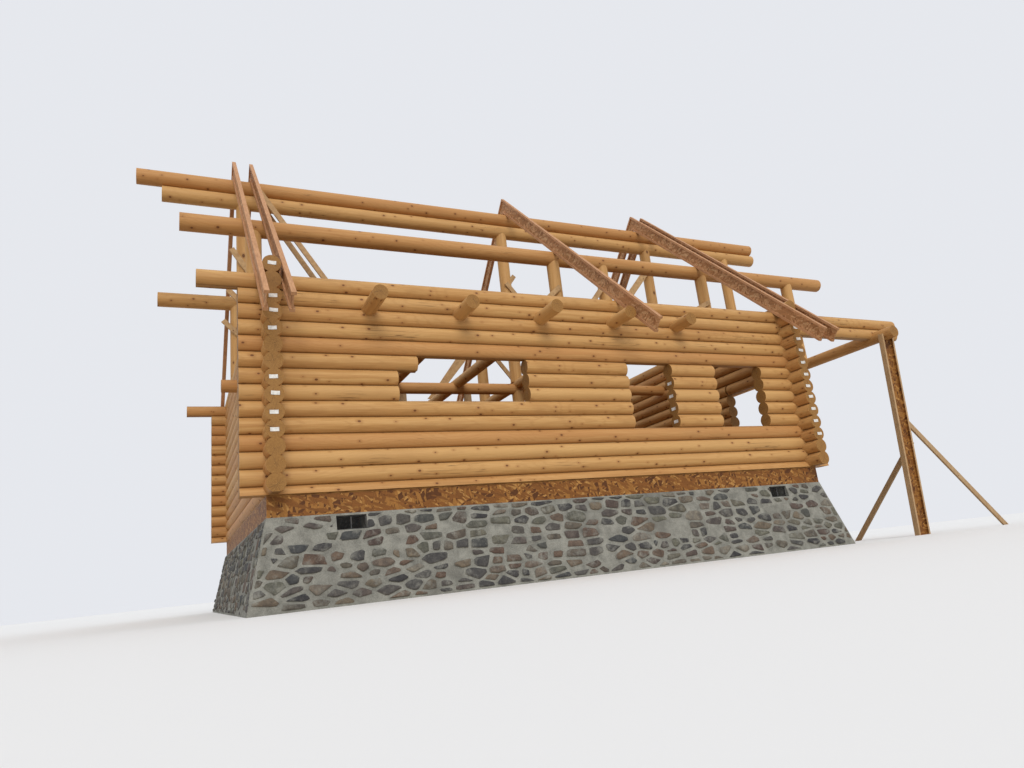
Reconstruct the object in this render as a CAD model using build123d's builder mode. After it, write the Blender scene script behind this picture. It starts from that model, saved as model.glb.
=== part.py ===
"""Log cabin shell under construction: milled round logs on a stone foundation, with its open roof frame.

The cabin stands with its front wall along X, its depth along +Y and its ground at Z = 0.
The origin is where the centre lines of the front wall and the left gable wall cross.
"""
from build123d import *
from math import cos, radians, sin, tan
import os

os.makedirs("parts", exist_ok=True)

# Driving sizes of the cabin, mm
wall_length = 8534  # between the centre lines of the two gable walls
wall_depth = 6706  # between the centre lines of the front and back walls
log_radius = 110
course = 203.2  # height that one coped log adds to a wall
course_count = 13  # full courses on a long wall above its half log
corner_overhang = 363  # from a crossing wall's centre line to the log ends
top_overhang = 822  # the same at the left end of the top log
seam = 0.3  # clearance between pieces that seat on each other

# Base
stone_height = 1040
stone_thickness = 330  # at the top
stone_outset = 85  # from a wall's centre line to the top of the stone face
stone_batter = 13  # degrees that the stone face leans out towards the ground
rim_height = 241
rim_thickness = 32
deck_thickness = 19
joist_spacing = 610
vent_width = 360
vent_height = 170
vent_inset = 870  # from a gable wall's centre line to the vent's centre
vent_depth = 110  # from the stone's top edge to the vent's centre

# Openings in the front wall, counted in courses above the log base
head_row = 8  # last course that the openings cut
wide_left = 1555
wide_right = 3430
wide_rows = 3
untrimmed_end = 1831  # the top log beside the wide opening still reaches in
window_rows = 5
window_1_left = 5120
window_1_right = 5950
window_2_left = 6810
window_2_right = 7800

# Door in the right gable wall
door_near = 450
door_far = 1460
door_rows = 8
door_gap = 45  # the log over the door stops short of the far jamb

# Floor and roof beams
tie_radius = 96
tie_lines = (1230, 2490, 3730, 4980, 6170)
tie_row = 11.5
tie_overhangs = (680, 580, 630, 590, 500)
girder_radius = 105
girder_drop = 90  # from the tie beams' centre down to the girder's
post_radius = 115
right_post_shift = 60  # of the ridge post, out from the right gable wall's centre line
roof_pitch = 44.3
ridge_radius = 133
ridge_lift = 275  # between the two stacked ridge logs
ridge_left_lower = -1280
ridge_left_upper = -1665
purlin_radius = 134
back_purlin_shift = 90  # how much nearer to the ridge the back purlin lies
purlin_left = (-1010, -1350)  # front, back
rafter_gap = 4  # between a rafter and the log or post that it stands beside
rafter_tail = 900  # from the wall's centre line out to the tail's lower corner
joist_depth = 241
flange_width = 59
flange_thickness = 38
web_thickness = 11

# Porch
porch_depth = 2360
porch_row = 11.6
porch_log_overhang = 490
eave_overhang = 620  # past the porch log's centre line
ridge_overhang = 910
purlin_overhang = 950
prop_head = 300  # the prop's head in front of the front wall's centre line
prop_foot = 10
prop_foot_shift = 70  # the foot stands out past the porch log's centre line
prop_depth = 302
prop_flange = 89
prop_brace_height = 2220  # on the prop, above the ground
prop_brace_reach = 2550
prop_side_height = 1650
prop_side_reach = 1500

# Bracing boards
board_width = 89
wide_board = 140
board_thickness = 38

# Worked out from the sizes above
log_base = stone_height + rim_height + deck_thickness
plate_height = course_count * course
half_depth = wall_depth / 2
slope = radians(roof_pitch)
rafter_seat = log_radius + seam
tie_height = tie_row * course
tie_top = tie_height + tie_radius + seam
girder_height = tie_height - girder_drop
middle_frame = tie_lines[3]
front_middle_post = middle_frame + 150
porch_line = wall_length + porch_depth
eave_right = porch_line + eave_overhang
ridge_right = porch_line + ridge_overhang
purlin_right = porch_line + purlin_overhang
vent_centres = (vent_inset, wall_length - vent_inset)
beside_log = log_radius + flange_width / 2 + rafter_gap
rafter_lines = (
    -beside_log,
    beside_log,
    middle_frame + post_radius + flange_width / 2 + rafter_gap,
    wall_length - beside_log,
    wall_length + beside_log,
)


def roof_height(distance, radius):
    """Centre height of a roof log that the rafters lie on, at a distance in from the long wall."""
    return plate_height + distance * tan(slope) + (log_radius - radius) / cos(slope)


ridge_upper = roof_height(half_depth, ridge_radius)
ridge_lower = ridge_upper - ridge_lift
front_inset = wall_depth / 4
back_inset = wall_depth / 4 + back_purlin_shift
front_purlin_height = roof_height(front_inset, purlin_radius)
back_purlin_height = roof_height(back_inset, purlin_radius)

# A wall line is a plane at the log base: its X runs along the wall and its Z is up.
front_line = Plane(origin=(0, 0, log_base), x_dir=(1, 0, 0), z_dir=(0, 0, 1))
back_line = Plane(origin=(0, wall_depth, log_base), x_dir=(1, 0, 0), z_dir=(0, 0, 1))
left_line = Plane(origin=(0, 0, log_base), x_dir=(0, 1, 0), z_dir=(0, 0, 1))
right_line = Plane(origin=(wall_length, 0, log_base), x_dir=(0, 1, 0), z_dir=(0, 0, 1))


def section_plane(line, distance):
    """Plane across a wall line: its X runs across the wall and its Y is up."""
    return Plane(origin=line.origin + line.x_dir * distance, x_dir=line.y_dir, z_dir=line.x_dir)


def side_plane(line):
    """Plane along a wall line: its X runs along the wall and its Y is up."""
    return Plane(origin=line.origin, x_dir=line.x_dir, z_dir=line.y_dir * -1)


def milled_log(line, start, end, height, notches=(), bores=()):
    """One round log with a cope over the log below, saddle notches over crossing logs, and bores.

    A notch or bore is (distance along, height, radius); all heights are above the log base.
    """
    with BuildPart() as log:
        with BuildSketch(section_plane(line, start)):
            with Locations((0, height)):
                Circle(log_radius)
            if height >= course:
                with Locations((0, height - course)):
                    Circle(log_radius + seam, mode=Mode.SUBTRACT)
            else:
                with Locations((0, -log_radius)):
                    Rectangle(3 * log_radius, 2 * log_radius, mode=Mode.SUBTRACT)
        extrude(amount=end - start)
        for distance, level, radius in (*notches, *bores):
            if start - radius < distance < end + radius:
                with BuildSketch(side_plane(line)):
                    with Locations((distance, level)):
                        Circle(radius + seam)
                extrude(amount=2 * log_radius, both=True, mode=Mode.SUBTRACT)
    return log.part


def long_row_spans(row, openings):
    """Stretches of log that one course of a long wall has between its openings."""
    left = -top_overhang if row == course_count else -corner_overhang
    right = eave_right if row > course_count - 2 else wall_length + corner_overhang
    cuts = [(low, high) for low, high, rows in openings if head_row - rows < row <= head_row]
    spans = []
    for low, high in sorted(cuts):
        spans.append((left, low))
        left = high
    spans.append((left, right))
    return spans


def long_wall_logs(line, rows, openings=()):
    """Logs of a long wall for some rows; row 0 is the half log on the floor."""
    logs = []
    for row in rows:
        height = row * course
        notches = []
        if row > 0:
            below = (row - 0.5) * course
            notches = [(0, below, log_radius), (wall_length, below, log_radius)]
        if abs(height - porch_row * course) < course:
            notches.append((porch_line, porch_row * course, log_radius))
        bores = []
        if abs(height - tie_height) < course:
            bores = [(place, tie_height, tie_radius) for place in tie_lines]
        for start, end in long_row_spans(row, openings):
            if row == head_row and abs(end - wide_left) < 1:
                end = untrimmed_end
            logs.append(milled_log(line, start, end, height, notches, bores))
    return logs


def gable_wall_logs(line, door=()):
    """Logs of a gable wall, each half a course above the long wall's log that it is notched over."""
    logs = []
    for row in range(course_count + 1):
        height = (row + 0.5) * course
        below = row * course
        notches = [(0, below, log_radius), (wall_depth, below, log_radius)]
        bores = []
        if abs(height - girder_height) < log_radius + girder_radius:
            bores = [(half_depth, girder_height, girder_radius)]
        spans = [(-corner_overhang, wall_depth + corner_overhang)]
        if door and row < door_rows:
            near, far = door
            spans = [(-corner_overhang, near), (far, wall_depth + corner_overhang)]
        elif door and row == door_rows:
            near, far = door
            spans = [(-corner_overhang, far - door_gap), (far, wall_depth + corner_overhang)]
        for start, end in spans:
            logs.append(milled_log(line, start, end, height, notches, bores))
    return logs


def foundation_part(corner, size, vents=()):
    """One side of the battered stone foundation, cut out of the whole ring between its ends."""
    spread = stone_height * tan(radians(stone_batter))
    reach = stone_outset + spread
    inside = stone_thickness - stone_outset
    with BuildPart() as ring:
        with BuildSketch():
            with Locations((wall_length / 2, half_depth)):
                Rectangle(wall_length + 2 * reach, wall_depth + 2 * reach)
        extrude(amount=stone_height, taper=stone_batter)
        with BuildSketch():
            with Locations((wall_length / 2, half_depth)):
                Rectangle(wall_length - 2 * inside, wall_depth - 2 * inside)
        extrude(amount=stone_height, mode=Mode.SUBTRACT)
        with BuildSketch():
            with Locations(corner):
                Rectangle(*size, align=Align.MIN)
        extrude(amount=stone_height, mode=Mode.INTERSECT)
        for centre in vents:
            with BuildSketch(Plane.XZ.offset(-wall_depth - 2 * reach)):
                with Locations((centre, stone_height - vent_depth)):
                    Rectangle(vent_width, vent_height)
            extrude(amount=wall_depth + 4 * reach, mode=Mode.SUBTRACT)
    return ring.part


# Stone foundation: the front and back sides run the full length and the ends fit between them
stone_reach = stone_outset + stone_height * tan(radians(stone_batter))
stone_inside = stone_thickness - stone_outset
full_length = wall_length + 2 * stone_reach
end_depth = wall_depth - 2 * stone_inside

with BuildPart() as foundation_front:
    add(foundation_part((-stone_reach, -stone_reach), (full_length, stone_reach + stone_inside), vent_centres))

with BuildPart() as foundation_back:
    back_start = wall_depth - stone_inside
    add(foundation_part((-stone_reach, back_start), (full_length, stone_reach + stone_inside), vent_centres))

with BuildPart() as foundation_left:
    add(foundation_part((-stone_reach, stone_inside), (stone_reach + stone_inside, end_depth)))

with BuildPart() as foundation_right:
    right_start = wall_length - stone_inside
    add(foundation_part((right_start, stone_inside), (stone_reach + stone_inside, end_depth)))

# Rim boards round the floor, the floor joists between them and the deck on top
rim_outside = stone_outset - 5
rim_length = wall_length + 2 * rim_outside
rim_middle = stone_height + rim_height / 2


def rim_board(x, y, length, depth):
    """One rim board standing on the stone."""
    with BuildPart() as board:
        with Locations((x, y, rim_middle)):
            Box(length, depth, rim_height)
    return board.part


with BuildPart() as rim_front:
    add(rim_board(wall_length / 2, rim_thickness / 2 - rim_outside, rim_length, rim_thickness))

with BuildPart() as rim_back:
    rim_y = wall_depth + rim_outside - rim_thickness / 2
    add(rim_board(wall_length / 2, rim_y, rim_length, rim_thickness))

end_rim_length = wall_depth + 2 * (rim_outside - rim_thickness)

with BuildPart() as rim_left:
    add(rim_board(rim_thickness / 2 - rim_outside, half_depth, rim_thickness, end_rim_length))

with BuildPart() as rim_right:
    right_x = wall_length + rim_outside - rim_thickness / 2
    add(rim_board(right_x, half_depth, rim_thickness, end_rim_length))


def joist_section(depth=joist_depth, width=flange_width):
    """Draw the section of an I-joist in the open sketch: two flanges and the thin web between them."""
    pocket = (width - web_thickness) / 2
    Rectangle(width, depth)
    with Locations(((web_thickness + pocket) / 2, 0), (-(web_thickness + pocket) / 2, 0)):
        Rectangle(pocket, depth - 2 * flange_thickness, mode=Mode.SUBTRACT)


joist_count = int((wall_length - joist_spacing) // joist_spacing) + 1
joist_start = rim_thickness - rim_outside
joist_plane = Plane(origin=(wall_length / 2, joist_start, rim_middle), x_dir=(-1, 0, 0), z_dir=(0, 1, 0))

with BuildPart() as floor_joists:
    with BuildSketch(joist_plane):
        with GridLocations(joist_spacing, 0, joist_count, 1):
            joist_section()
    extrude(amount=end_rim_length)

with BuildPart() as floor_deck:
    with Locations((wall_length / 2, half_depth, log_base - deck_thickness / 2)):
        Box(rim_length, wall_depth + 2 * rim_outside, deck_thickness)

# Log walls: the logs of a wall are separate solids, a seam apart
front_openings = (
    (wide_left, wide_right, wide_rows),
    (window_1_left, window_1_right, window_rows),
    (window_2_left, window_2_right, window_rows),
)
wall_rows = range(course_count - 1)
plate_rows = (course_count - 1, course_count)

front_wall_logs = long_wall_logs(front_line, wall_rows, front_openings)
front_plate_logs = long_wall_logs(front_line, plate_rows)
back_wall_logs = long_wall_logs(back_line, wall_rows)
back_plate_logs = long_wall_logs(back_line, plate_rows)
left_gable_logs = gable_wall_logs(left_line)
right_gable_logs = gable_wall_logs(right_line, (door_near, door_far))

with BuildPart() as front_wall:
    add(front_wall_logs)

with BuildPart() as front_plate:
    add(front_plate_logs)

with BuildPart() as back_wall:
    add(back_wall_logs)

with BuildPart() as back_plate:
    add(back_plate_logs)

with BuildPart() as left_gable_wall:
    add(left_gable_logs)

with BuildPart() as right_gable_wall:
    add(right_gable_logs)


def round_beam(line, start, end, height, radius, notches=(), across=0):
    """A plain round beam along a wall line, with saddle notches over the beams that it crosses."""
    with BuildPart() as beam:
        with BuildSketch(section_plane(line, start)):
            with Locations((across, height)):
                Circle(radius)
        extrude(amount=end - start)
        for distance, level, notch_radius in notches:
            with BuildSketch(side_plane(line)):
                with Locations((distance, level)):
                    Circle(notch_radius + seam)
            extrude(amount=wall_length + wall_depth, both=True, mode=Mode.SUBTRACT)
    return beam.part


# Girder at mid depth, and the tie beams notched over it
girder_log = round_beam(
    Plane(origin=(0, half_depth, log_base), x_dir=(1, 0, 0), z_dir=(0, 0, 1)),
    -corner_overhang,
    wall_length + corner_overhang,
    girder_height,
    girder_radius,
)

with BuildPart() as girder:
    add(girder_log)

tie_beams = []
for place, overhang in zip(tie_lines, tie_overhangs):
    tie_line = Plane(origin=(place, 0, log_base), x_dir=(0, 1, 0), z_dir=(0, 0, 1))
    over_girder = [(half_depth, girder_height, girder_radius)]
    tie_beams.append(
        round_beam(tie_line, -overhang, wall_depth + overhang, tie_height, tie_radius, over_girder)
    )

# Ridge of two stacked logs, and a purlin at the middle of each slope
ridge_line = Plane(origin=(0, half_depth, log_base), x_dir=(1, 0, 0), z_dir=(0, 0, 1))

with BuildPart() as ridge_log_lower:
    with BuildSketch(section_plane(ridge_line, ridge_left_lower)):
        with Locations((0, ridge_lower)):
            Circle(ridge_radius)
    extrude(amount=ridge_right - ridge_left_lower)

with BuildPart() as ridge_log_upper:
    with BuildSketch(section_plane(ridge_line, ridge_left_upper)):
        with Locations((0, ridge_upper)):
            Circle(ridge_radius)
        with Locations((0, ridge_lower)):
            Circle(ridge_radius + seam, mode=Mode.SUBTRACT)
    extrude(amount=ridge_right - ridge_left_upper)

purlins = []
for y, height, left in zip(
    (front_inset, wall_depth - back_inset), (front_purlin_height, back_purlin_height), purlin_left
):
    purlin_line = Plane(origin=(0, y, log_base), x_dir=(1, 0, 0), z_dir=(0, 0, 1))
    purlins.append(round_beam(purlin_line, left, purlin_right, height, purlin_radius))

# Porch log across the front of the porch
porch_wall_line = Plane(origin=(porch_line, 0, log_base), x_dir=(0, 1, 0), z_dir=(0, 0, 1))
porch_beam = round_beam(
    porch_wall_line,
    -porch_log_overhang,
    wall_depth + porch_log_overhang,
    porch_row * course,
    log_radius,
)

with BuildPart() as porch_log:
    add(porch_beam)


def post(x, y, head, head_radius, seat):
    """A round post coped under a roof log that runs along X and over a seat log that runs along Y.

    The seat log is given as its place along X, its centre height above the log base and its radius.
    """
    seat_x, foot, foot_radius = seat
    with BuildPart() as column:
        with BuildSketch(Plane.XY.offset(log_base + foot + foot_radius / 2)):
            with Locations((x, y)):
                Circle(post_radius)
        extrude(amount=head - foot - foot_radius / 2)
        with BuildSketch(Plane.YZ.offset(x)):
            with Locations((y, log_base + head)):
                Circle(head_radius + seam)
        extrude(amount=2 * post_radius, both=True, mode=Mode.SUBTRACT)
        with BuildSketch(Plane.XZ.offset(-y)):
            with Locations((seat_x, log_base + foot)):
                Circle(foot_radius + seam)
        extrude(amount=2 * post_radius, both=True, mode=Mode.SUBTRACT)
    return column.part


gable_foot = (course_count + 0.5) * course
left_seat = (0, gable_foot, log_radius)
middle_seat = (middle_frame, tie_height, tie_radius)
fifth_seat = (tie_lines[4], tie_height, tie_radius)
right_seat = (wall_length, gable_foot, log_radius)
porch_seat = (porch_line, porch_row * course, log_radius)
right_ridge_post = wall_length + right_post_shift
post_seats = (left_seat, middle_seat, right_seat, porch_seat)
ridge_places = (0, middle_frame, right_ridge_post, porch_line)
front_places = (0, front_middle_post, tie_lines[4], wall_length, porch_line)
front_seats = (left_seat, middle_seat, fifth_seat, right_seat, porch_seat)
front_y = front_inset
back_y = wall_depth - back_inset

ridge_columns = [
    post(place, half_depth, ridge_lower, ridge_radius, seat)
    for place, seat in zip(ridge_places, post_seats)
]
back_columns = [post(seat[0], back_y, back_purlin_height, purlin_radius, seat) for seat in post_seats]
front_columns = [
    post(place, front_y, front_purlin_height, purlin_radius, seat)
    for place, seat in zip(front_places, front_seats)
]

with BuildPart() as ridge_posts:
    add(ridge_columns)

with BuildPart() as front_purlin_posts:
    add(front_columns)

with BuildPart() as back_purlin_posts:
    add(back_columns)

# Bracing boards, nailed flat on the sides of the posts: each rises from its foot past its post
def brace(post_x, y, side, foot, crossing, overrun, width=board_width, level=True):
    """One bracing board along X on a post's front (side -1) or back (side 1).

    The foot is (x, height), and crossing is the height where the board passes the post's centre line.
    A level foot stands on top of a beam at the foot's height.
    """
    rise = Vector(post_x - foot[0], 0, crossing - foot[1])
    along = rise.normalized()
    start = Vector(foot[0], y, log_base + foot[1]) - along * width
    length = rise.length + overrun + width
    centre = start + along * (length / 2) + Vector(0, side * (post_radius + seam + board_thickness / 2), 0)
    with BuildPart() as board:
        with BuildSketch(Plane(origin=centre, x_dir=along, z_dir=(0, 1, 0))):
            Rectangle(length, width)
        extrude(amount=board_thickness / 2, both=True)
        if level:
            split(bisect_by=Plane.XY.offset(log_base + foot[1]), keep=Keep.TOP)
    return board.part


def on_tie(number, shift=0):
    """Foot on top of one of the tie beams, counted from the left."""
    return (tie_lines[number - 1] + shift, tie_top)


beside_girder = (tie_lines[2] - tie_radius - 170, girder_height + girder_radius)
ridge_side = ridge_radius - post_radius
over_ridge = ridge_upper + 300  # where the two boards that stop beside the ridge logs would cross
ridge_boards = [
    brace(0, half_depth, -1, on_tie(1), 4330, 370),
    brace(0, half_depth, 1, on_tie(1), 3740, 360),
    brace(0, half_depth - ridge_side, -1, on_tie(2, 45), over_ridge, -440),
    brace(0, half_depth + ridge_side, 1, on_tie(2, -45), over_ridge, -520),
    brace(middle_frame, half_depth, 1, beside_girder, 4350, 460, level=False),
    brace(
        middle_frame,
        half_depth,
        -1,
        (2 * middle_frame - beside_girder[0], girder_height + girder_radius),
        4350,
        90,
        level=False,
    ),
    brace(right_ridge_post, half_depth, -1, on_tie(5), 5140, 60, width=wide_board),
]
front_boards = [
    brace(front_middle_post, front_y, -1, on_tie(3), 3640, 10),
    brace(front_middle_post, front_y, 1, on_tie(5), 3630, 10),
    brace(tie_lines[4], front_y, -1, on_tie(4), 3860, 60),
    brace(wall_length, front_y, -1, on_tie(5), 3580, 0),
]
back_boards = [
    brace(0, back_y, -1, on_tie(1), 3680, 350),
    brace(middle_frame, back_y, -1, on_tie(3), 3880, 60, width=wide_board),
    brace(middle_frame, back_y, 1, on_tie(5), 3990, 60),
    brace(wall_length, back_y, -1, on_tie(5), 3780, 50),
]

with BuildPart() as ridge_braces:
    add(ridge_boards)

with BuildPart() as front_purlin_braces:
    add(front_boards)

with BuildPart() as back_purlin_braces:
    add(back_boards)

# Post under the girder, standing on the deck, and two board props beside it
with BuildPart() as girder_post:
    with BuildSketch(Plane.XY.offset(log_base)):
        with Locations((middle_frame, half_depth)):
            Circle(post_radius)
    extrude(amount=girder_height - girder_radius / 2)
    with BuildSketch(Plane.YZ.offset(middle_frame)):
        with Locations((half_depth, log_base + girder_height)):
            Circle(girder_radius + seam)
    extrude(amount=2 * post_radius, both=True, mode=Mode.SUBTRACT)

prop_height = girder_height - girder_radius - seam

with BuildPart() as girder_props:
    for place in (tie_lines[1] + 170, tie_lines[2] + 190):
        with Locations((place, half_depth, log_base + prop_height / 2)):
            Box(wide_board, board_thickness, prop_height)

# Rafters: I-joists with a plumb cut at the ridge and a square cut at the tail
tail_height = log_base + plate_height + rafter_seat / cos(slope) - rafter_tail * tan(slope)
rafter_length = (half_depth + rafter_tail + joist_depth) / cos(slope)
slope_direction = Vector(0, cos(slope), sin(slope))
tail_up = Vector(0, -sin(slope), cos(slope))
middle_plane = Plane(origin=(0, half_depth, 0), x_dir=(1, 0, 0), z_dir=(0, 1, 0))


def rafter(x):
    """One rafter of the front slope."""
    start = Vector(x, -rafter_tail, tail_height) + tail_up * (joist_depth / 2)
    with BuildPart() as beam:
        with BuildSketch(Plane(origin=start, x_dir=(-1, 0, 0), z_dir=slope_direction)):
            joist_section()
        extrude(amount=rafter_length)
        split(bisect_by=middle_plane.offset(-seam), keep=Keep.BOTTOM)
    return beam.part


front_rafters = [rafter(place) for place in rafter_lines]
back_rafters = [piece.mirror(middle_plane) for piece in front_rafters]

with BuildPart() as rafters_front:
    add(front_rafters)

with BuildPart() as rafters_back:
    add(back_rafters)

# Porch props: leaning I-joists under the porch log, each with two board braces to the ground
prop_top = Vector(porch_line, -prop_head, log_base + porch_row * course)
prop_base = Vector(porch_line + prop_foot_shift, -prop_foot, 0)
prop_rise = prop_top - prop_base
prop_along = prop_rise.normalized()
prop_face = Vector(1, 0, 0).cross(prop_along).normalized()
prop_out = prop_along.cross(prop_face)
prop_side = prop_depth / 2 + board_thickness / 2 + seam
prop_behind = prop_flange / 2 + board_thickness / 2 + seam


def ground_board(top, foot, face, overrun):
    """A board from a point on a prop to the ground; face is the direction that its wide side faces."""
    along = (top - foot).normalized()
    start = foot - along * board_width
    length = (top - foot).length + board_width + overrun
    with BuildPart() as board:
        with BuildSketch(Plane(origin=start + along * (length / 2), x_dir=along, z_dir=face)):
            Rectangle(length, board_width)
        extrude(amount=board_thickness / 2, both=True)
        split(bisect_by=Plane.XY, keep=Keep.TOP)
    return board.part


with BuildPart() as porch_prop_front:
    below_ground = prop_base - prop_along * prop_flange
    with BuildSketch(Plane(origin=below_ground, x_dir=prop_face * -1, z_dir=prop_along)):
        joist_section(prop_depth, prop_flange)
    extrude(amount=prop_rise.length + prop_flange)
    split(bisect_by=Plane.XY, keep=Keep.TOP)
    with BuildSketch(Plane.XZ):
        with Locations((prop_top.X, prop_top.Z)):
            Circle(log_radius + seam)
    extrude(amount=2 * prop_head, both=True, mode=Mode.SUBTRACT)
    with BuildSketch(Plane.XY.offset(prop_top.Z)):
        with Locations((prop_top.X, prop_top.Y)):
            Rectangle(2 * prop_depth, 4 * prop_flange)
    extrude(amount=log_radius, mode=Mode.SUBTRACT)

at_side_brace = prop_base + prop_rise * (prop_side_height / prop_rise.Z)
at_long_brace = prop_base + prop_rise * (prop_brace_height / prop_rise.Z)
long_top = at_long_brace - prop_face * prop_behind
long_foot = prop_base - prop_face * prop_behind + Vector(prop_brace_reach, 0, 0)
side_top = at_side_brace + prop_out * prop_side
side_foot = prop_base + prop_out * prop_side + Vector(0, 0, 1).cross(prop_out) * prop_side_reach
front_ground_boards = [
    ground_board(long_top, long_foot, prop_face, board_width),
    ground_board(side_top, side_foot, prop_out, 0),
]

with BuildPart() as porch_braces_front:
    add(front_ground_boards)

prop_back = porch_prop_front.part.mirror(middle_plane)
back_ground_boards = [board.mirror(middle_plane) for board in front_ground_boards]

with BuildPart() as porch_braces_back:
    add(back_ground_boards)

pieces = {
    "foundation_front": foundation_front.part,
    "foundation_back": foundation_back.part,
    "foundation_left": foundation_left.part,
    "foundation_right": foundation_right.part,
    "rim_front": rim_front.part,
    "rim_back": rim_back.part,
    "rim_left": rim_left.part,
    "rim_right": rim_right.part,
    "floor_joists": floor_joists.part,
    "floor_deck": floor_deck.part,
    "front_wall": front_wall.part,
    "front_plate_logs": front_plate.part,
    "back_wall": back_wall.part,
    "back_plate_logs": back_plate.part,
    "left_gable_wall": left_gable_wall.part,
    "right_gable_wall": right_gable_wall.part,
    "girder": girder.part,
    "ridge_log_lower": ridge_log_lower.part,
    "ridge_log_upper": ridge_log_upper.part,
    "purlin_front": purlins[0],
    "purlin_back": purlins[1],
    "porch_log": porch_log.part,
    "ridge_posts": ridge_posts.part,
    "front_purlin_posts": front_purlin_posts.part,
    "back_purlin_posts": back_purlin_posts.part,
    "ridge_braces": ridge_braces.part,
    "front_purlin_braces": front_purlin_braces.part,
    "back_purlin_braces": back_purlin_braces.part,
    "girder_post": girder_post.part,
    "girder_props": girder_props.part,
    "rafters_front": rafters_front.part,
    "rafters_back": rafters_back.part,
    "porch_prop_front": porch_prop_front.part,
    "porch_prop_back": prop_back,
    "porch_braces_front": porch_braces_front.part,
    "porch_braces_back": porch_braces_back.part,
}
for number, beam in enumerate(tie_beams):
    pieces[f"tie_beam_{number + 1}"] = beam
for name, piece in pieces.items():
    piece.label = name
    export_step(piece, f"parts/{name}.step")
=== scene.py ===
import math
import random

import bmesh
import bpy
from mathutils import Matrix, Vector


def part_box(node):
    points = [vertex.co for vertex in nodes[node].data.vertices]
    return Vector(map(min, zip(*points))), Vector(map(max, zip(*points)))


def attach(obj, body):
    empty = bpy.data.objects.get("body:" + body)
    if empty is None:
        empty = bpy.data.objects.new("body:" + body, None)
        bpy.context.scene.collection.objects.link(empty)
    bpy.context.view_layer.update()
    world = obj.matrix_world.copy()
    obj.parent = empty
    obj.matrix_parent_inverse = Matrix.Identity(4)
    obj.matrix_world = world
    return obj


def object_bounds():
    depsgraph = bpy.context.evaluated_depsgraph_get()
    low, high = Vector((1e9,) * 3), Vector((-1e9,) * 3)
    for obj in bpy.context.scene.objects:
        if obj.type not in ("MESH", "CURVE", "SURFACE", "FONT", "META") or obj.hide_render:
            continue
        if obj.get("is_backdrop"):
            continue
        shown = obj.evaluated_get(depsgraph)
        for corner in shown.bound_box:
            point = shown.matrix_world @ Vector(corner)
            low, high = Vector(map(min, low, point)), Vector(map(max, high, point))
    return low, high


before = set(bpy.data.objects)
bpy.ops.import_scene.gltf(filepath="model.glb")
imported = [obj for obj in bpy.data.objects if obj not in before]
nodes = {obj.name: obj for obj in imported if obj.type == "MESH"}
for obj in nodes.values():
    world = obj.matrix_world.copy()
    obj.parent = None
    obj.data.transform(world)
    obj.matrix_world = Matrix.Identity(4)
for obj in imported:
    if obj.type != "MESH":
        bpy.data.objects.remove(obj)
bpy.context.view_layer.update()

# Stone foundation: four walls that lean in as they rise, their faces laid in pale grey mortar.
# The walls themselves carry the mortar's finish, struck rough between the stones.
wall_length = 8.534
wall_depth = 6.706
stone_height = 1.04
stone_outset = 0.085
batter = math.radians(13)
mortar_shade = (0.150, 0.150, 0.132)
mortar_light = (0.290, 0.288, 0.254)
damp_grey = (0.105, 0.102, 0.090)


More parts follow.
